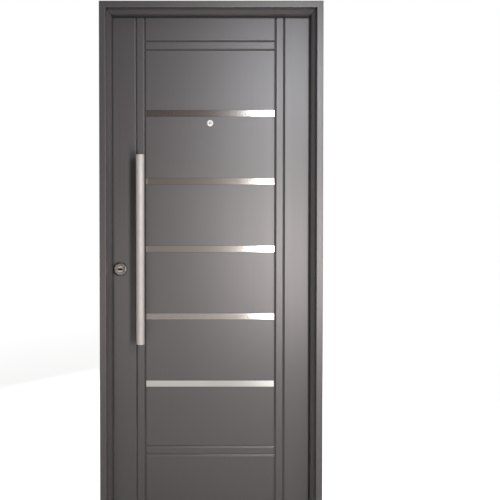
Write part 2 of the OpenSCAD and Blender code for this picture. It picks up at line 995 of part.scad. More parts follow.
frame_head();
frame_jamb_lock();
frame_jamb_hinge();
sill();
strike();
seal_head();
seal_lock();
seal_hinge();
seal_sill();
hinge_frame(0);  // hinge_frame_1
hinge_frame(1);  // hinge_frame_2
hinge_frame(2);  // hinge_frame_3
skin_outer();
skin_inner();
core();
rail_lock();
rail_hinge();
rail_top();
rail_bottom();
strip(0);  // strip_1
strip(1);  // strip_2
strip(2);  // strip_3
strip(3);  // strip_4
strip(4);  // strip_5
pull_tube();
pull_caps();
pull_posts();
pull_nuts();
lock_case();
lock_faceplate();
lock_bolts();
key_rose_outer();
key_barrel();
key_rose_inner();
lever();
peephole();
peephole_lens();
peephole_inner();
hinge_leaf(0);  // hinge_leaf_1
hinge_leaf(1);  // hinge_leaf_2
hinge_leaf(2);  // hinge_leaf_3
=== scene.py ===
# %% [markdown]
# # A steel front door, from its fixed parts to a lit scene
# The door comes as a set of exact solids: a bent-sheet frame, a pressed leaf, a lock, a pull bar
# and three hinges. Blender adds what solids can't say: how powder coat, ground steel, rubber and
# timber look, and the many small screws. Everything is in metres: X runs to the hinges, Y into the
# house and Z up.

import math

import bpy
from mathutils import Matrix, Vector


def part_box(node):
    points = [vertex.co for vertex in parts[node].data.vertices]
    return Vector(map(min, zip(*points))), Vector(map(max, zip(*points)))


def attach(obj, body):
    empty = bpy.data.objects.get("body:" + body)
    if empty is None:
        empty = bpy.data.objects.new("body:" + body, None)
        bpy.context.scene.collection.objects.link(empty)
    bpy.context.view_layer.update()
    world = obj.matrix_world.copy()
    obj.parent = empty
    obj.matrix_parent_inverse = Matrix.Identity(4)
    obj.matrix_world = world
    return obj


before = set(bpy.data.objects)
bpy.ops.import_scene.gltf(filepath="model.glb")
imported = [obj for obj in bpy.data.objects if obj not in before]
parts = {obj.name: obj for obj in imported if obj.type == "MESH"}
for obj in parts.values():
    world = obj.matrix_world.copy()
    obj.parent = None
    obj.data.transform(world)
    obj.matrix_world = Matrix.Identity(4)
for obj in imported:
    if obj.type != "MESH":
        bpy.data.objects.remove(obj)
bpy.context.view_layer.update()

# %% [markdown]
# ## Three helpers
# A colour is easiest to write as the hex value of a paint chart, but shaders count light, so one
# function turns a hex value into linear light. The second adds one node of any kind: its own
# settings by name, and for each of its sockets either a plain value or the socket of another node
# that feeds it. The third starts a material.

# %% A colour
MM = 0.001  # one millimetre, in metres


def rgb(hex_value):
    """Linear RGBA from an sRGB hex colour."""
    channels = [int(hex_value[i : i + 2], 16) / 255 for i in (1, 3, 5)]
    return [c / 12.92 if c <= 0.04045 else ((c + 0.055) / 1.055) ** 2.4 for c in channels] + [1.0]


print("hex #808080 is", [round(c, 3) for c in rgb("#808080")][:3], "in linear light")


# %% A node
def add(tree, kind, sockets=None, **settings):
    """Add a node; sockets maps an input to a value, to an output that feeds it, or to several."""
    new = tree.nodes.new(kind)
    for name, value in settings.items():
        setattr(new, name, value)
    for key, value in (sockets or {}).items():
        several = value if isinstance(value, list) else [value]
        feeds = [one for one in several if isinstance(one, bpy.types.NodeSocket)]
        if not feeds:
            new.inputs[key].default_value = value
        for one in feeds:
            tree.links.new(one, new.inputs[key])
    return new


print("one helper adds every node")


# %% A material
def finish(name, sockets):
    """A material with one shader; gives it, its tree, the shader and the Object coordinates."""
    material = bpy.data.materials.new(name)
    material.use_nodes = True
    tree = material.node_tree
    tree.nodes.clear()
    shader = add(tree, "ShaderNodeBsdfPrincipled", sockets)
    add(tree, "ShaderNodeOutputMaterial", {"Surface": shader.outputs["BSDF"]})
    return material, tree, shader, add(tree, "ShaderNodeTexCoord").outputs["Object"]


finishes = {}
print("every finish reads Object coordinates, so its pattern stays on the part")

# %% [markdown]
# ## Powder coat on sheet steel
# The leaf and the frame are folded from sheet, sprayed with grey powder and baked. The powder melts
# into a thin plastic skin with a soft sheen. One plain grey could stand for it, but up close the
# skin is slightly wavy like orange peel, and the rolled sheet under it leaves faint upright
# streaks. So the sheen is a middling roughness that changes a little in long upright bands, and two
# small bumps break up the highlights. Shade in the hollows is painted in: Ambient Occlusion finds
# every hollow by itself, and there the grey is painted nearly black and made matt.

# %% Tone of the powder coat
# To the eye: a warm dark grey that turns light where a lamp grazes its shiny resin skin
coat, tree, shader, place = finish("powder_coated_steel", {"IOR": 1.5, "Specular IOR Level": 0.9})
finishes["painted_steel"] = coat
DRIFT = 350 * MM
cloud = add(tree, "ShaderNodeTexNoise", {"Vector": place, "Scale": 1 / DRIFT, "Detail": 3.0})
tones = {"Factor": cloud.outputs["Fac"], "A": rgb("#474344"), "B": rgb("#4c4849")}
grey = add(tree, "ShaderNodeMix", tones, data_type="RGBA").outputs["Result"]
print("the grey drifts over about", round(DRIFT / MM), "mm")

# %% Painted shade in the hollows
# The bottoms of the grooves and the corners between parts are painted nearly black as shade, and
# made matt
HOLLOW = 12 * MM
# The painted shade fades out towards the foot of the door, between these heights in metres
SHADE_GONE_BELOW, SHADE_FULL_ABOVE = 0.35, 0.50
sky = add(tree, "ShaderNodeAmbientOcclusion", {"Distance": HOLLOW}, samples=12).outputs["AO"]
open_flat = {"Value": sky, "From Min": 0.50, "From Max": 0.92}
open_flat = add(tree, "ShaderNodeMapRange", open_flat).outputs["Result"]
height = add(tree, "ShaderNodeSeparateXYZ", {"Vector": place}).outputs["Z"]
foot_fade = {"Value": height, "From Min": SHADE_FULL_ABOVE, "From Max": SHADE_GONE_BELOW}
foot_fade = add(tree, "ShaderNodeMapRange", foot_fade).outputs["Result"]
unshaded = add(tree, "ShaderNodeMath", {0: open_flat, 1: foot_fade}, operation="MAXIMUM").outputs[0]
# Where the hollow is shut, the grey turns nearly black: painted shade
tones = {"Factor": unshaded, "A": rgb("#100f0f"), "B": grey}
paint = add(tree, "ShaderNodeMix", tones, data_type="RGBA").outputs["Result"]
tree.links.new(paint, shader.inputs["Base Color"])
# The hollows hold painted shade, fading out below these heights
print("hollows under", round(HOLLOW / MM), "mm hold dirt, from", SHADE_FULL_ABOVE, "m above the floor")

# %% Streaks and orange peel
STREAK_WIDTH, STREAK_LENGTH, PEEL = 9 * MM, 900 * MM, 3 * MM
upright = (1 / STREAK_WIDTH, 1 / STREAK_WIDTH, 1 / STREAK_LENGTH)
rolled = add(tree, "ShaderNodeMapping", {"Vector": place, "Scale": upright})
streak = {"Vector": rolled.outputs["Vector"], "Scale": 1.0, "Detail": 3.0}
streak = add(tree, "ShaderNodeTexNoise", streak)
sheen = {"Value": streak.outputs["Fac"], "To Min": 0.40, "To Max": 0.52}
sheen = add(tree, "ShaderNodeMapRange", sheen)
dull = {"Factor": unshaded, "A": 0.9, "B": sheen.outputs["Result"]}
tree.links.new(add(tree, "ShaderNodeMix", dull).outputs["Result"], shader.inputs["Roughness"])
peel = add(tree, "ShaderNodeTexNoise", {"Vector": place, "Scale": 1 / PEEL, "Detail": 2.0})
ripple = {"Height": streak.outputs["Fac"], "Strength": 0.2, "Distance": 1 * MM}
ripple = add(tree, "ShaderNodeBump", ripple)
waves = {"Height": peel.outputs["Fac"], "Strength": 0.12, "Distance": 0.2 * MM}
waves["Normal"] = ripple.outputs["Normal"]
tree.links.new(add(tree, "ShaderNodeBump", waves).outputs["Normal"], shader.inputs["Normal"])
print("peel every", round(PEEL / MM), "mm, streaks every", round(STREAK_WIDTH / MM), "mm")

# %% [markdown]
# ## Ground and brushed metal
# An abrasive belt leaves fine parallel scratches. Along them a reflection stays sharp, across them
# it smears out. The shader's anisotropy could do that on a plain tube, but it needs a direction on
# every face, so here the scratches are really there, as a bump stretched along the grinding
# direction. Real scratches are far too fine to show from two metres off, so they are drawn coarser,
# about a millimetre apart.


# %% Metal ground along one direction
HANDLED = 60 * MM  # across one patch that hands have dulled


def ground_metal(name, tones, run, pitch, rough, depth, aspect=120, uneven=0.15):
    """Metal scratched along the axis run (0 x, 1 y, 2 z), with pitch and depth in mm.

    A scratch is aspect times as long as its pitch. Hands change the roughness by the part uneven.
    """
    material, tree, shader, place = finish(name, {"Metallic": 1.0})
    scale = [1 / (pitch * MM)] * 3
    scale[run] /= aspect
    belt = add(tree, "ShaderNodeMapping", {"Vector": place, "Scale": scale}).outputs["Vector"]
    scratch = {"Vector": belt, "Scale": 1.0, "Detail": 4.0}
    scratch = add(tree, "ShaderNodeTexNoise", scratch).outputs["Fac"]
    shades = {"Factor": scratch, "A": rgb(tones[0]), "B": rgb(tones[1])}
    paint = add(tree, "ShaderNodeMix", shades, data_type="RGBA").outputs["Result"]
    tree.links.new(paint, shader.inputs["Base Color"])
    cloud = {"Vector": place, "Scale": 1 / HANDLED, "Detail": 2.0}
    cloud = add(tree, "ShaderNodeTexNoise", cloud).outputs["Fac"]
    handled = {"Value": cloud, "To Min": rough * (1 - uneven), "To Max": rough * (1 + uneven)}
    handled = add(tree, "ShaderNodeMapRange", handled).outputs["Result"]
    tree.links.new(handled, shader.inputs["Roughness"])
    bump = add(tree, "ShaderNodeBump", {"Height": scratch, "Strength": 1.0, "Distance": depth * MM})
    tree.links.new(bump.outputs["Normal"], shader.inputs["Normal"])
    print(name, "has scratches along", "XYZ"[run])
    return material


# %% Stainless steel, hinge steel, zinc and aluminium
# Strips: fine-ground stainless, almost a mirror, so the room's shades run along it
tones = ("#c2beba", "#cdc9c5")
strip = ground_metal("ground_stainless_strip", tones, 0, 1.2, 0.16, 0.003, uneven=0.04)
finishes["polished_stainless"] = strip
# Bar: coarse-brushed stainless, whose highlight is a wide soft band down the tube
tones = ("#beb9b5", "#cac5c1")
finishes["brushed_stainless"] = ground_metal("brushed_stainless_bar", tones, 2, 1.5, 0.80, 0.02)
# Hinges: satin steel, a duller and more neutral grey than the bar
tones = ("#b9b9b8", "#c8c8c6")
finishes["hinge_steel"] = ground_metal("satin_steel_hinge", tones, 2, 1.2, 0.32, 0.01)
# Screws and lock: bright zinc, a cool grey that is mottled rather than brushed
tones = ("#a7adb3", "#bcc0c2")
finishes["zinc_steel"] = ground_metal("zinc_plated_steel", tones, 2, 6.0, 0.38, 0.02, aspect=2)
# Sill: drawn aluminium with an anodised skin, matt along its whole length
tones = ("#b9babb", "#c6c7c7")
finishes["sill_aluminium"] = ground_metal("anodised_aluminium_sill", tones, 0, 1.5, 0.34, 0.02)

# %% [markdown]
# ## Nickel plating
# The key's plate, the peephole's rim and the small covers inside are die-cast, tumbled smooth and
# nickel-plated. Nothing brushes them, so they have patches in place of lines. The peephole's rim is
# polished brighter than the rest. The key barrel needs its own finish too. Only its two faces are
# plated; deeper in, the slot and barrel are painted black as shade, and so is a band round the
# slot.
# Cutting the barrel's mesh up could show that, but the parts stay whole, so here the colour follows
# the depth from the barrel's middle and the distance from the slot.


# %% Satin and bright nickel
PATCH = 7 * MM


def plating(name, tones, smooth, rough):
    """Nickel plating whose tone and roughness drift in small patches."""
    material, tree, shader, place = finish(name, {"Metallic": 1.0})
    patch = {"Vector": place, "Scale": 1 / PATCH, "Detail": 3.0}
    patch = add(tree, "ShaderNodeTexNoise", patch).outputs["Fac"]
    patch = {"Value": patch, "From Min": 0.35, "From Max": 0.65}
    patch = add(tree, "ShaderNodeMapRange", patch).outputs["Result"]
    satin = add(tree, "ShaderNodeMapRange", {"Value": patch, "To Min": smooth, "To Max": rough})
    tree.links.new(satin.outputs["Result"], shader.inputs["Roughness"])
    shades = {"Factor": patch, "A": rgb(tones[0]), "B": rgb(tones[1])}
    paint = add(tree, "ShaderNodeMix", shades, data_type="RGBA").outputs["Result"]
    tree.links.new(paint, shader.inputs["Base Color"])
    print(name, "has patches every", round(PATCH / MM), "mm")
    return material


# To the eye: a quiet warm grey metal with a blurred highlight
finishes["nickel_plate"] = plating("satin_nickel_plate", ("#646160", "#8f8c89"), 0.20, 0.34)
# To the eye: a small white glint in the middle of the leaf
bright_nickel = plating("bright_nickel_rim", ("#cdc9c3", "#e4e0da"), 0.34, 0.44)

# %% Key barrel with painted shade in its slot
# To the eye: pale nickel with a level slot that reads black, as painted shade
RUB = 3 * MM
SLOT_HALF = 7 * MM  # from the barrel's middle to the slot's end
# Painted shade round the slot: black out to DARK_TO from its middle line, pale again by BRIGHT_FROM
DARK_TO, BRIGHT_FROM = 3.0 * MM, 5.5 * MM  # distances from the slot's middle line
# Deeper than PLATED from either end, the slot's walls and the barrel's sides are painted black as
# shade
PLATED, SKIN = 1.0 * MM, 0.1 * MM  # how deep the bright plating fades in from each end
barrel_metal, tree, shader, place = finish("nickel_barrel_painted_slot_shade", {"Metallic": 1.0})
rubbed = {"Vector": place, "Scale": 1 / RUB, "Detail": 3.0}
rubbed = add(tree, "ShaderNodeTexNoise", rubbed).outputs["Fac"]
rubbed = {"Value": rubbed, "To Min": 0.34, "To Max": 0.50}
rubbed = add(tree, "ShaderNodeMapRange", rubbed).outputs["Result"]
tree.links.new(rubbed, shader.inputs["Roughness"])
low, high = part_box("key_barrel")
middle = [(a + b) / 2 for a, b in zip(low, high)]
off = add(tree, "ShaderNodeVectorMath", {0: place, 1: middle}, operation="SUBTRACT").outputs[0]
off = add(tree, "ShaderNodeVectorMath", {0: off}, operation="ABSOLUTE").outputs[0]
half_run = (high[1] - low[1]) / 2
depth = add(tree, "ShaderNodeSeparateXYZ", {"Vector": off}).outputs["Y"]
plated = {"Value": depth, "From Min": half_run - PLATED, "From Max": half_run - SKIN}
plated = add(tree, "ShaderNodeMapRange", plated).outputs["Result"]
past_slot = {0: off, 1: (SLOT_HALF, half_run, 0.0)}
past_slot = add(tree, "ShaderNodeVectorMath", past_slot, operation="SUBTRACT").outputs[0]
past_slot = {0: past_slot, 1: (0.0, 0.0, 0.0)}
past_slot = add(tree, "ShaderNodeVectorMath", past_slot, operation="MAXIMUM").outputs[0]
past_slot = add(tree, "ShaderNodeVectorMath", {0: past_slot}, operation="LENGTH").outputs["Value"]
clear_of_slot_shade = {"Value": past_slot, "From Min": DARK_TO, "From Max": BRIGHT_FROM}
clear_of_slot_shade = add(tree, "ShaderNodeMapRange", clear_of_slot_shade).outputs["Result"]
bright = add(tree, "ShaderNodeMath", {0: plated, 1: clear_of_slot_shade}, operation="MULTIPLY").outputs[0]
# The black is painted shade; the pale grey is the plating
tones = {"Factor": bright, "A": rgb("#060504"), "B": rgb("#aba8a5")}
paint = add(tree, "ShaderNodeMix", tones, data_type="RGBA").outputs["Result"]
tree.links.new(paint, shader.inputs["Base Color"])
print("the barrel is", round(2 * half_run / MM), "mm long, plated", PLATED / MM, "mm at each end")

# %% [markdown]
# ## Rubber, timber, foam and glass
# The seals are a black foam rubber that hardly shines. The rails inside the leaf are planed spruce,
# which shows where the leaf's edge is open: its rings run along each rail, so the upright and the
# level rails have a finish each. The core is poured foam with fine closed cells. The peephole's
# lens is plain clear glass.

# %% Foam rubber
# To the eye: a soft black line with no highlight
rubber, tree, shader, place = finish("foam_rubber_seal", {"Roughness": 0.85, "IOR": 1.52})
finishes["seal_rubber"] = rubber
PORE = 0.8 * MM
pores = {"Vector": place, "Scale": 1 / PORE, "Detail": 3.0}
pores = add(tree, "ShaderNodeTexNoise", pores).outputs["Fac"]
tones = {"Factor": pores, "A": rgb("#121213"), "B": rgb("#1e1e1f")}
paint = add(tree, "ShaderNodeMix", tones, data_type="RGBA").outputs["Result"]
tree.links.new(paint, shader.inputs["Base Color"])
bump = add(tree, "ShaderNodeBump", {"Height": pores, "Strength": 0.4, "Distance": 0.2 * MM})
tree.links.new(bump.outputs["Normal"], shader.inputs["Normal"])
print("pores every", round(PORE / MM, 1), "mm")


# %% Planed spruce
# To the eye: pale honey wood with darker late-wood lines along the rail
RING, GRAIN_LENGTH = 12 * MM, 400 * MM


def spruce(name, run):
    """Softwood whose grain runs along the axis run."""
    material, tree, shader, place = finish(name, {"Roughness": 0.6, "IOR": 1.5})
    scale = [1 / RING] * 3
    scale[run] = 1 / GRAIN_LENGTH
    board = add(tree, "ShaderNodeMapping", {"Vector": place, "Scale": scale}).outputs["Vector"]
    wave = {"Vector": board, "Scale": 0.6, "Distortion": 2.5, "Detail": 3.0}
    direction = {"bands_direction": "Y" if run else "Z"}
    rings = add(tree, "ShaderNodeTexWave", wave, **direction).outputs["Fac"]
    tones = {"Factor": rings, "A": rgb("#d9b98a"), "B": rgb("#b98f5c")}
    paint = add(tree, "ShaderNodeMix", tones, data_type="RGBA").outputs["Result"]
    tree.links.new(paint, shader.inputs["Base Color"])
    pith = add(tree, "ShaderNodeBump", {"Height": rings, "Strength": 0.3, "Distance": 0.3 * MM})
    tree.links.new(pith.outputs["Normal"], shader.inputs["Normal"])
    print(name, "has its grain along", "XYZ"[run])
    return material


finishes["rail_timber"] = spruce("planed_spruce_upright", 2)
level_spruce = spruce("planed_spruce_level", 0)

# %% Foam and glass
# Foam: to the eye a matt cream solid with a fine grain
CELL, SMEAR = 2 * MM, 4 * MM
foam, tree, shader, place = finish("rigid_foam_core", {"Roughness": 0.9, "IOR": 1.5})
finishes["rigid_foam"] = foam
cells = add(tree, "ShaderNodeTexVoronoi", {"Vector": place, "Scale": 1 / CELL}).outputs["Distance"]
tones = {"Factor": cells, "A": rgb("#e6d9ae"), "B": rgb("#cdbd8c")}
paint = add(tree, "ShaderNodeMix", tones, data_type="RGBA").outputs["Result"]
tree.links.new(paint, shader.inputs["Base Color"])
# Glass: clear, with a faint cool tint and faint smears that only soften its highlight
clear = {"Base Color": rgb("#dfe6ea"), "IOR": 1.52, "Transmission Weight": 1.0}
finishes["lens_glass"], tree, shader, place = finish("lens_glass", clear)
smear = add(tree, "ShaderNodeTexNoise", {"Vector": place, "Scale": 1 / SMEAR}).outputs["Fac"]
smear = {"Value": smear, "To Min": 0.01, "To Max": 0.05}
smear = add(tree, "ShaderNodeMapRange", smear).outputs["Result"]
tree.links.new(smear, shader.inputs["Roughness"])
print("foam cells are drawn", round(CELL / MM), "mm across, coarser than real, so that they show")

# %% [markdown]
# ## Finishes on the parts
# Each part already carries the name of its finish in its material slot, so a finish is changed for
# every part at once by looking its name up. Only the parts round the key, the peephole and the two
# level rails differ from their kind.

# %% Put the finishes on
for part in parts.values():
    for slot in part.material_slots:
        slot.material = finishes[slot.material.name.split(".")[0]]
parts["key_barrel"].material_slots[0].material = barrel_metal
parts["peephole"].material_slots[0].material = bright_nickel
parts["key_rose_outer"].material_slots[0].material = finishes["nickel_plate"]
for name in ("rail_top", "rail_bottom"):
    parts[name].material_slots[0].material = level_spruce
print(len(bpy.data.materials), "materials in the file,", len(parts), "parts finished")

# %% [markdown]
# ## Screws
# A screw is a small thing that repeats, so it is described once and copied to every hole. It could
# be lathed by hand, but a tree of nodes can make a countersunk and a round head from the same few
# sizes. It draws one head from plain shapes: a flat ring round a hexagon, the six walls and the
# floor of that socket, and three cone bands for the bevel, the side and the underside. The first
# input is a mesh whose points are the holes. Each point carries the way its screw faces and how big
# it is, and a fixed seed turns every screw by its own angle, as no fitter stops them all alike.

# %% The inputs of the tree
screw_tree = bpy.data.node_groups.new("screw_on_points", "GeometryNodeTree")
shape = screw_tree.interface
shape.new_socket("Holes", in_out="INPUT", socket_type="NodeSocketGeometry")
WIDTHS = ("Head Diameter", "Shank Diameter", "Socket Width")
HEIGHTS = ("Socket Depth", "Crown", "Bevel", "Side", "Cone")
for name in WIDTHS + HEIGHTS:
    shape.new_socket(name, in_out="INPUT", socket_type="NodeSocketFloat").subtype = "DISTANCE"
shape.new_socket("Seed", in_out="INPUT", socket_type="NodeSocketInt")
shape.new_socket("Finish", in_out="INPUT", socket_type="NodeSocketMaterial")
shape.new_socket("Screws", in_out="OUTPUT", socket_type="NodeSocketGeometry")
given = add(screw_tree, "NodeGroupInput").outputs
print("inputs:", [item.name for item in shape.items_tree if item.in_out == "INPUT"])

# %% Radii and heights, from the crown down
levels = {}
for name, kind, first, second in (
    ("rim", "MULTIPLY", given["Head Diameter"], 0.5),
    ("shank", "MULTIPLY", given["Shank Diameter"], 0.5),
    ("corner", "DIVIDE", given["Socket Width"], math.sqrt(3.0)),
    ("bevel low", "SUBTRACT", given["Crown"], given["Bevel"]),
    ("side low", "SUBTRACT", "bevel low", given["Side"]),
    ("cone low", "SUBTRACT", "side low", given["Cone"]),
    ("socket low", "SUBTRACT", given["Crown"], given["Socket Depth"]),
    ("flat", "SUBTRACT", "rim", given["Bevel"]),
):
    feeds = {0: levels[first] if isinstance(first, str) else first, 1: second}
    levels[name] = add(screw_tree, "ShaderNodeMath", feeds, operation=kind).outputs[0]
print("reckoned:", ", ".join(levels))


# %% Three shapes that a head is built from
def lifted(geometry, height):
    """The geometry moved along Z."""
    step = add(screw_tree, "ShaderNodeCombineXYZ", {"Z": height}).outputs["Vector"]
    moved = {"Geometry": geometry, "Translation": step}
    return add(screw_tree, "GeometryNodeTransform", moved).outputs["Geometry"]


def band(top, bottom, low, height):
    """An open cone band that stands on z = low."""
    sizes = {"Vertices": 24, "Radius Top": top, "Radius Bottom": bottom, "Depth": height}
    cone = add(screw_tree, "GeometryNodeMeshCone", sizes, fill_type="NONE").outputs["Mesh"]
    return lifted(cone, low)


def filled(height, *outlines):
    """A flat face at a height, between nested outlines, each a radius and a number of corners."""
    loops = []
    for radius, corners in outlines:
        outline = {"Resolution": corners, "Radius": radius}
        outline = add(screw_tree, "GeometryNodeCurvePrimitiveCircle", outline).outputs["Curve"]
        loops.append(outline)
    joined = add(screw_tree, "GeometryNodeJoinGeometry", {"Geometry": loops}).outputs["Geometry"]
    face = add(screw_tree, "GeometryNodeFillCurve", {"Curve": joined}, mode="NGONS").outputs["Mesh"]
    return lifted(face, height)


print("shapes: a lift, a cone band and a filled outline")

# %% The hexagon socket's walls
hexagon = {"Resolution": 6, "Radius": levels["corner"]}
edge = add(screw_tree, "GeometryNodeCurvePrimitiveCircle", hexagon).outputs["Curve"]
edge = add(screw_tree, "GeometryNodeCurveToMesh", {"Curve": edge}).outputs["Mesh"]
down = add(screw_tree, "ShaderNodeCombineXYZ", {"Z": -1.0}).outputs["Vector"]
drop = {"Mesh": edge, "Offset": down, "Offset Scale": given["Socket Depth"]}
walls = add(screw_tree, "GeometryNodeExtrudeMesh", drop, mode="EDGES").outputs["Mesh"]
walls = lifted(walls, given["Crown"])
walls = add(screw_tree, "GeometryNodeFlipFaces", {"Mesh": walls}).outputs["Mesh"]
print("the walls are turned round, so that they face the key")

# %% One screw head
underside = filled(levels["cone low"], (levels["shank"], 24))
head_parts = [
    filled(given["Crown"], (levels["flat"], 24), (levels["corner"], 6)),
    walls,
    filled(levels["socket low"], (levels["corner"], 6)),
    band(levels["flat"], levels["rim"], levels["bevel low"], given["Bevel"]),
    band(levels["rim"], levels["rim"], levels["side low"], given["Side"]),
    band(levels["rim"], levels["shank"], levels["cone low"], given["Cone"]),
    add(screw_tree, "GeometryNodeFlipFaces", {"Mesh": underside}).outputs["Mesh"],
]
head = add(screw_tree, "GeometryNodeJoinGeometry", {"Geometry": head_parts}).outputs["Geometry"]
head = {"Geometry": head, "Distance": 0.01 * MM}
head = add(screw_tree, "GeometryNodeMergeByDistance", head).outputs["Geometry"]
print(len(head_parts), "shapes are welded into one closed head")

# %% The head on every hole
on_point = "GeometryNodeInputNamedAttribute"
facing = add(screw_tree, on_point, {"Name": "facing"}, data_type="FLOAT_VECTOR").outputs[0]
bigness = add(screw_tree, on_point, {"Name": "bigness"}, data_type="FLOAT").outputs[0]
aim = {"Vector": facing}
aim = add(screw_tree, "FunctionNodeAlignRotationToVector", aim, axis="Z").outputs["Rotation"]
spin = {"Max": 2 * math.pi, "Seed": given["Seed"]}
spin = add(screw_tree, "FunctionNodeRandomValue", spin, data_type="FLOAT")
stop = {"Axis": (0.0, 0.0, 1.0), "Angle": spin.outputs["Value"]}
stop = add(screw_tree, "FunctionNodeAxisAngleToRotation", stop).outputs["Rotation"]
turned = {"Rotation": aim, "Rotate By": stop}
turned = add(screw_tree, "FunctionNodeRotateRotation", turned, rotation_space="LOCAL")
turned = turned.outputs["Rotation"]
copies = {"Points": given["Holes"], "Instance": head, "Rotation": turned, "Scale": bigness}
copies = add(screw_tree, "GeometryNodeInstanceOnPoints", copies).outputs["Instances"]
real = add(screw_tree, "GeometryNodeRealizeInstances", {"Geometry": copies}).outputs["Geometry"]
painted = {"Geometry": real, "Material": given["Finish"]}
painted = add(screw_tree, "GeometryNodeSetMaterial", painted)
add(screw_tree, "NodeGroupOutput", {"Screws": painted.outputs["Geometry"]})
print(len(screw_tree.nodes), "nodes in the tree")

# %% [markdown]
# The tree works on a live object, but the door needs plain meshes, one for each body. So the holes
# of a body become a small mesh of loose points, the tree runs on it once, and the result is copied
# out as a mesh of its own.


# %% Screws for one body
def screws(name, body, holes, sizes, finish_name, seed):
    """Screws of sizes in mm, in holes of (place, facing, bigness), riding on a body."""
    mesh = bpy.data.meshes.new(name + "_holes")
    mesh.from_pydata([place for place, _, _ in holes], [], [])
    ways = [number for _, way, _ in holes for number in way]
    mesh.attributes.new("facing", "FLOAT_VECTOR", "POINT").data.foreach_set("vector", ways)
    scales = [big for _, _, big in holes]
    mesh.attributes.new("bigness", "FLOAT", "POINT").data.foreach_set("value", scales)
    source = bpy.data.objects.new(name + "_source", mesh)
    bpy.context.collection.objects.link(source)
    modifier = source.modifiers.new("screws", "NODES")
    modifier.node_group = screw_tree
    keys = {item.name: item.identifier for item in shape.items_tree if item.in_out == "INPUT"}
    for size_name, value in sizes.items():
        modifier[keys[size_name]] = value * MM
    modifier[keys["Seed"]] = seed
    modifier[keys["Finish"]] = finishes[finish_name]
    evaluated = source.evaluated_get(bpy.context.evaluated_depsgraph_get())
    made = bpy.data.meshes.new_from_object(evaluated)
    made.name = name
    source.modifiers.clear()
    bpy.data.objects.remove(source)
    piece = bpy.data.objects.new(name, made)
    bpy.context.collection.objects.link(piece)
    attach(piece, body)
    print(name, "has", len(holes), "screws and", len(made.polygons), "faces")


# %% [markdown]
# Two kinds are used. The hinges and the lock's faceplate have countersunk screws, whose heads lie a
# hair below the plate. The frame is held to the wall by round heads that stand on the sheet,
# smaller ones on the sill. Where each hole is comes from the corners of the part it is in, so the
# screws follow if the door is made in another size.

# %% Countersunk screws of the leaf
KNUCKLE_RADIUS, HINGE_PLATE = 7 * MM, 3 * MM
# How far each screw lies inward from the pin, and at which part of the plate's height
HINGE_ROWS = ((20 * MM, 0.2), (20 * MM, 0.8), (34 * MM, 0.5))
FACEPLATE_IN = 10 * MM  # from each end of the lock's faceplate
leaf_holes = []
for number in (1, 2, 3):
    low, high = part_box(f"hinge_leaf_{number}")
    pin_x, plate_y = high[0] - KNUCKLE_RADIUS, low[1] + HINGE_PLATE
    for inward, part_way in HINGE_ROWS:
        spot = (pin_x - inward, plate_y, low[2] + part_way * (high[2] - low[2]))
        leaf_holes.append((spot, (0.0, 1.0, 0.0), 1.0))
low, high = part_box("lock_faceplate")
for z in (low[2] + FACEPLATE_IN, high[2] - FACEPLATE_IN):
    leaf_holes.append(((low[0], (low[1] + high[1]) / 2, z), (-1.0, 0.0, 0.0), 1.0))
countersunk = {
    "Head Diameter": 9.6,
    "Shank Diameter": 4.6,
    "Socket Width": 3.0,
    "Socket Depth": 1.6,
    "Crown": -0.12,
    "Bevel": 0.15,
    "Side": 0.0,
    "Cone": 2.3,
}
screws("leaf_screws", "leaf", leaf_holes, countersunk, "zinc_steel", 4)

# %% Round-headed screws of the frame
REBATE_IN, ROW_IN = 16 * MM, 15 * MM  # from the sheet's outer side, and from its inner edge
WALL_SCREWS, WALL_END = 4, 305 * MM  # on each side, and from each end of the sheet
# The sill's two screws: how far from its middle, how high, and how big against the others
SILL_HALF_PITCH, SILL_TOP, SILL_BIGNESS = 225 * MM, 4 * MM, 0.7
sheet_low, sheet_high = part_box("frame_jamb_lock")
rebate = sheet_low[0] + REBATE_IN
wall_pitch = (sheet_high[2] - sheet_low[2] - 2 * WALL_END) / (WALL_SCREWS - 1)
frame_holes = []
for step in range(WALL_SCREWS):
    y, z = sheet_high[1] - ROW_IN, sheet_low[2] + WALL_END + step * wall_pitch
    frame_holes.append(((rebate, y, z), (1.0, 0.0, 0.0), 1.0))
    frame_holes.append(((-rebate, y, z), (-1.0, 0.0, 0.0), 1.0))
sill_y = (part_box("seal_sill")[0][1] + sheet_high[1]) / 2
for x in (-SILL_HALF_PITCH, SILL_HALF_PITCH):
    frame_holes.append(((x, sill_y, SILL_TOP), (0.0, 0.0, 1.0), SILL_BIGNESS))
round_head = {
    "Head Diameter": 15.0,
    "Shank Diameter": 8.0,
    "Socket Width": 5.0,
    "Socket Depth": 2.2,
    "Crown": 2.4,
    "Bevel": 0.7,
    "Side": 1.7,
    "Cone": 0.0,
}
screws("frame_screws", "frame", frame_holes, round_head, "zinc_steel", 9)

# %% [markdown]
# ## The ground and the background
# A pale floor carries the door and its soft shadow, and the world behind is white. A brighter lamp
# could whiten both, but it would bleach the door too. Instead they glow for the eye, and for what
# glass and metal mirror, and shed no light of their own. In a mirror the floor is dimmer near the
# door, where the door itself shades it, and brighter in a round pool under the lamps.


# %% One glow for the eye, one for mirrors, and none for the light that is shed
def by_ray(tree, seen, mirrored):
    """A strength for the eye, one for metal and glass, and none for what it would light."""
    ray = add(tree, "ShaderNodeLightPath").outputs
    shiny = {0: ray["Is Glossy Ray"], 1: ray["Is Transmission Ray"]}
    shiny = add(tree, "ShaderNodeMath", shiny, operation="MAXIMUM").outputs[0]
    unseen = {"Factor": shiny, "A": 0.0, "B": mirrored}
    unseen = add(tree, "ShaderNodeMix", unseen).outputs["Result"]
    either = {"Factor": ray["Is Camera Ray"], "A": unseen, "B": seen}
    return add(tree, "ShaderNodeMix", either).outputs["Result"]


def plane(name, corners):
    """A four-cornered stage piece."""
    mesh = bpy.data.meshes.new(name)
    mesh.from_pydata(corners, [], [(0, 1, 2, 3)])
    made = bpy.data.objects.new(name, mesh)
    bpy.context.collection.objects.link(made)
    return made


print("the glow never lights the door")

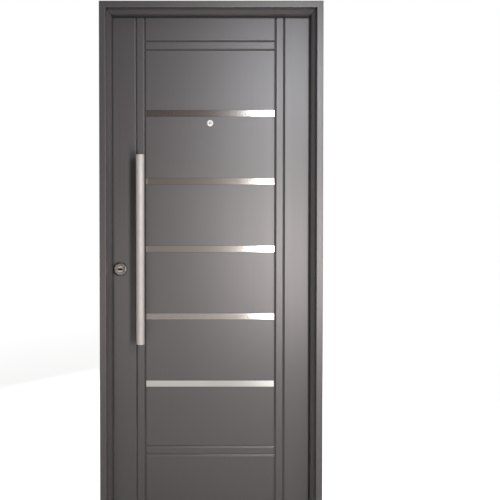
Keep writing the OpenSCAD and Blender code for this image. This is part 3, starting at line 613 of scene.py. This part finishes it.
# %% Floor
# Painted board; to the eye: matt white without a highlight, so that only the soft shadow shows
FLOOR_HALF = 9.0
SHADED_Y, OPEN_Y = -0.8, -1.6  # in a mirror, the door's shade is deepest here, and gone here
POOL_MIDDLE, POOL_CORE, POOL_EDGE = (0.50, -1.65, 0.0), 0.05, 0.34
HAZE_NEAR, HAZE_FAR = 0.9, 3.5  # for the eye, the floor brightens between these into the world
signs = ((-1, -1), (1, -1), (1, 1), (-1, 1))
floor = plane("floor", [(x * FLOOR_HALF, y * FLOOR_HALF, 0) for x, y in signs])
pale = {"Base Color": rgb("#f0f0f0"), "Roughness": 1.0, "Specular IOR Level": 0.0}
pale["Emission Color"] = rgb("#ffffff")
floor_paint, tree, shader, place = finish("pale_floor", pale)
spot = add(tree, "ShaderNodeSeparateXYZ", {"Vector": place}).outputs
shade = {"Value": spot["Y"], "From Min": SHADED_Y, "From Max": OPEN_Y}
shade |= {"To Min": 0.20, "To Max": 0.95}
shade = add(tree, "ShaderNodeMapRange", shade).outputs["Result"]
pool = {0: place, 1: POOL_MIDDLE}
pool = add(tree, "ShaderNodeVectorMath", pool, operation="DISTANCE").outputs["Value"]
pool = {"Value": pool, "From Min": POOL_EDGE, "From Max": POOL_CORE, "To Min": 0.90, "To Max": 2.80}
pool = add(tree, "ShaderNodeMapRange", pool, interpolation_type="SMOOTHSTEP").outputs["Result"]
mirrored = add(tree, "ShaderNodeMath", {0: shade, 1: pool}, operation="MULTIPLY").outputs[0]
away = add(tree, "ShaderNodeVectorMath", {0: place}, operation="LENGTH").outputs["Value"]
haze = {"Value": away, "From Min": HAZE_NEAR, "From Max": HAZE_FAR, "To Min": 0.78, "To Max": 1.0}
haze = add(tree, "ShaderNodeMapRange", haze).outputs["Result"]
tree.links.new(by_ray(tree, seen=haze, mirrored=mirrored), shader.inputs["Emission Strength"])
floor.data.materials.append(floor_paint)
print("the floor is", 2 * FLOOR_HALF, "m wide, so its edge is out of sight")

# %% World
world = bpy.data.worlds.new("white_studio")
bpy.context.scene.world = world
world.use_nodes = True
tree = world.node_tree
tree.nodes.clear()
back = {"Color": rgb("#ffffff"), "Strength": by_ray(tree, seen=1.0, mirrored=1.0)}
back = add(tree, "ShaderNodeBackground", back).outputs["Background"]
add(tree, "ShaderNodeOutputWorld", {"Surface": back})
print("the background is white")

# %% [markdown]
# ## What bare metal mirrors
# Ground steel shows whatever stands in front of it. In a white room it would be plain white, so a
# studio sets up a card. This one is brown and stands behind the camera, and only reflections see
# it.
# It is no lamp but glows: its brown is painted light, lighter towards the floor and the lamps.

# %% Brown card behind the camera
# To the eye, in the steel only: a warm brown glow of painted light that darkens upwards
CARD_LEFT, CARD_RIGHT, CARD_Y, CARD_TOP = -4.5, 0.36, -2.75, 3.6
DARKEST_Z, DIM_X, BRIGHT_X = 2.3, -0.55, 0.25
corners = ((CARD_LEFT, 0.0), (CARD_RIGHT, 0.0), (CARD_RIGHT, CARD_TOP), (CARD_LEFT, CARD_TOP))
card = plane("brown_card", [(x, CARD_Y, z) for x, z in corners])
for kind in ("camera", "diffuse", "transmission", "volume_scatter", "shadow"):
    setattr(card, "visible_" + kind, False)
black = {"Base Color": rgb("#000000"), "Roughness": 1.0, "Specular IOR Level": 0.0}
card_paint, tree, shader, place = finish("brown_card", black)
spot = add(tree, "ShaderNodeSeparateXYZ", {"Vector": place}).outputs
rise = {"Value": spot["Z"], "From Max": DARKEST_Z}
rise = add(tree, "ShaderNodeMapRange", rise).outputs["Result"]
brown = {"Factor": rise, "A": rgb("#b3aaa6"), "B": rgb("#453e3b")}
brown = add(tree, "ShaderNodeMix", brown, data_type="RGBA")
tree.links.new(brown.outputs["Result"], shader.inputs["Emission Color"])
# Painted light: the card glows brighter towards the lamps
near = {"Value": spot["X"], "From Min": DIM_X, "From Max": BRIGHT_X, "To Min": 0.97, "To Max": 1.5}
near = add(tree, "ShaderNodeMapRange", near).outputs["Result"]
tree.links.new(near, shader.inputs["Emission Strength"])
card.data.materials.append(card_paint)
print("the card darkens from the floor up to", DARKEST_Z, "m")

# %% [markdown]
# ## Lamps
# Two tall narrow softboxes stand a little to the right of the door's middle and light it from close
# by, so the paint fades from right to left, the strips catch a white glare at their right ends and
# the bar throws its shadow to the left. A weak low one on the left keeps that side from closing up.
# One wide lamp would be simpler, but it would wash all three away. Two more stand inside, one to
# each side, so that the inner face and the hinges read too.


# %% Softboxes
def softbox(name, centre, size, power, turn, colour):
    """A rectangular lamp of some watts that faces the door, turned about Z by some degrees."""
    lamp = bpy.data.lights.new(name, "AREA")
    lamp.shape = "RECTANGLE"
    lamp.size, lamp.size_y = size
    lamp.energy = power
    lamp.color = rgb(colour)[:3]
    holder = bpy.data.objects.new(name, lamp)
    holder.location = centre
    holder.rotation_euler = (math.radians(90), 0, math.radians(turn))
    holder.visible_camera = False
    bpy.context.collection.objects.link(holder)
    print(name, "gives", power, "W at", centre)


softbox("upper_softbox", (0.460, -1.30, 1.93), (0.26, 0.66), 12.3, 8.0, "#f8fbff")
softbox("lower_softbox", (0.460, -1.30, 0.95), (0.26, 0.82), 16.6, 8.0, "#fff9f7")
softbox("low_fill", (-0.75, -1.30, 0.66), (0.30, 0.52), 1.3, -20.0, "#fff4ee")
softbox("back_left", (1.30, 1.70, 1.45), (0.40, 1.40), 18.0, 143.0, "#fffaf6")
softbox("back_right", (-1.30, 1.70, 1.45), (0.40, 1.40), 28.0, 217.0, "#fbfcff")

# %% [markdown]
# ## Camera
# The door is seen from straight in front at chest height, from a little over two metres. Tilting
# the camera would make its sides lean, so it looks almost level and the view is shifted on the film
# instead.

# %% Camera
camera = bpy.data.objects.new("camera", bpy.data.cameras.new("camera"))
bpy.context.collection.objects.link(camera)
CAMERA_Y, EYE_HEIGHT, TILT = -2.2625, 1.322, 0.85  # metres, and degrees below level
camera.location = (0.0, CAMERA_Y, EYE_HEIGHT)
camera.rotation_euler = (math.radians(90 - TILT), 0, 0)
camera.data.sensor_width = 36
camera.data.lens = 41.26
camera.data.shift_x = 0.0776
camera.data.shift_y = -0.101
bpy.context.scene.camera = camera
print("lens", camera.data.lens, "mm at", tuple(round(c, 3) for c in camera.location))

# %% [markdown]
# ## Colours as written
# The Standard view shows a colour as its hex value says.

# %% Colour management and the end
bpy.context.scene.view_settings.view_transform = "Standard"
